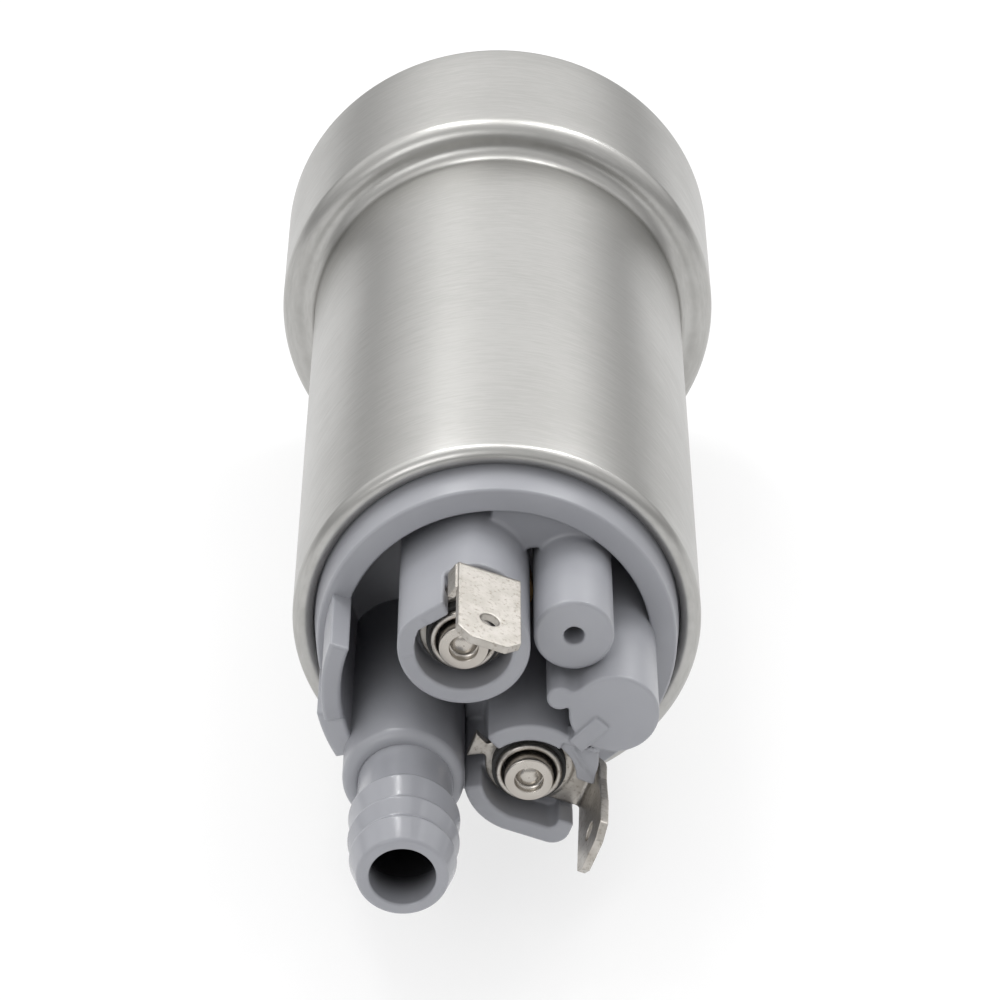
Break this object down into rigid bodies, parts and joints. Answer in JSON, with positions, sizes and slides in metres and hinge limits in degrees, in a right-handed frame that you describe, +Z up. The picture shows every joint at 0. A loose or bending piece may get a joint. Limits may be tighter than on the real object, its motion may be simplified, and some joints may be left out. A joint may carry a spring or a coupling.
{
  "type": "electric fuel pump",
  "caption": "In-tank electric turbine fuel pump in a stepped steel can, with a barbed outlet, blade terminals and a ribbed inlet end.",
  "frame": {"origin": "on the pump's axis, at the middle of the can's straight 39 mm body wall, where a clamp or rubber sleeve holds it", "axes": "-Y along the pump's axis towards the outlet, +Y towards the inlet, +Z up as the pump lies, +X to the right seen from the outlet end"},
  "size_m": [0.046, 0.1172, 0.046],
  "materials": {
    "can_steel": "brushed, nickel plated",
    "cover_plastic": "moulded, satin",
    "tinned_terminal": "tinned",
    "ferrule_metal": "plated",
    "black_rubber": "moulded",
    "carbon": "pressed carbon",
    "spring_steel": "drawn wire",
    "copper_lead": "stranded copper",
    "white_plastic": "moulded",
    "bearing_bronze": "sintered",
    "flux_steel": "rolled sheet",
    "ferrite": "sintered",
    "lamination_steel": "stacked sheet",
    "shaft_steel": "ground",
    "winding_copper": "enamelled wire",
    "insulator_plastic": "powder coated",
    "commutator_resin": "moulded resin",
    "impeller_resin": "moulded resin",
    "plate_aluminium": "die cast, anodised"
  },
  "bodies": {
    "housing": {"can": "can_steel", "outlet_cover": "cover_plastic", "cover_seal": "black_rubber", "terminal_positive": "tinned_terminal", "terminal_negative": "tinned_terminal", "terminal_ring_positive": "black_rubber", "terminal_ring_negative": "black_rubber", "ferrule_positive": "ferrule_metal", "ferrule_negative": "ferrule_metal", "brush_lead_positive": "copper_lead", "brush_lead_negative": "copper_lead", "brush_spring_positive": "spring_steel", "brush_spring_negative": "spring_steel", "check_valve_seat": "black_rubber", "check_valve_spring": "spring_steel", "check_valve_guide": "white_plastic", "relief_valve_seat": "bearing_bronze", "relief_valve_spring": "spring_steel", "flux_ring": "flux_steel", "magnet_left": "ferrite", "magnet_right": "ferrite", "magnet_clips": "spring_steel", "upper_bearing": "bearing_bronze", "lower_bearing": "bearing_bronze", "spacer_ring": "plate_aluminium", "channel_plate": "plate_aluminium", "plate_seal": "black_rubber", "inlet_plate": "plate_aluminium", "thrust_button": "white_plastic"},
    "rotor": {"rotor_shaft": "shaft_steel", "rotor_laminations": "lamination_steel", "rotor_windings": "winding_copper", "rotor_insulators": "insulator_plastic", "commutator_base": "commutator_resin", "commutator_segments": "carbon", "impeller": "impeller_resin"},
    "brush_plus": {"brush_positive": "carbon"},
    "brush_minus": {"brush_negative": "carbon"},
    "check_valve": {"check_valve_poppet": "white_plastic"},
    "relief_valve": {"relief_valve_ball": "shaft_steel"}
  },
  "joints": [
    {"name": "rotor_spin", "type": "hinge", "parent": "housing", "child": "rotor", "pos_m": [0, 0, 0], "axis": [0, -1, 0], "continuous": true},
    {"name": "brush_plus_slide", "type": "slide", "parent": "housing", "child": "brush_plus", "axis": [0, -1, 0], "range_m": [0, 0.003], "stiffness_N_per_m": 60, "springref_m": -0.01, "deforming": ["brush_spring_positive", "brush_lead_positive"]},
    {"name": "brush_minus_slide", "type": "slide", "parent": "housing", "child": "brush_minus", "axis": [0, -1, 0], "range_m": [0, 0.003], "stiffness_N_per_m": 60, "springref_m": -0.01, "deforming": ["brush_spring_negative", "brush_lead_negative"]},
    {"name": "check_valve_lift", "type": "slide", "parent": "housing", "child": "check_valve", "axis": [0, -1, 0], "range_m": [0, 0.0025], "stiffness_N_per_m": 40, "springref_m": -0.004, "deforming": ["check_valve_spring"]},
    {"name": "relief_valve_lift", "type": "slide", "parent": "housing", "child": "relief_valve", "axis": [0, -1, 0], "range_m": [0, 0.0015], "stiffness_N_per_m": 800, "springref_m": -0.005, "deforming": ["relief_valve_spring"]}
  ]
}
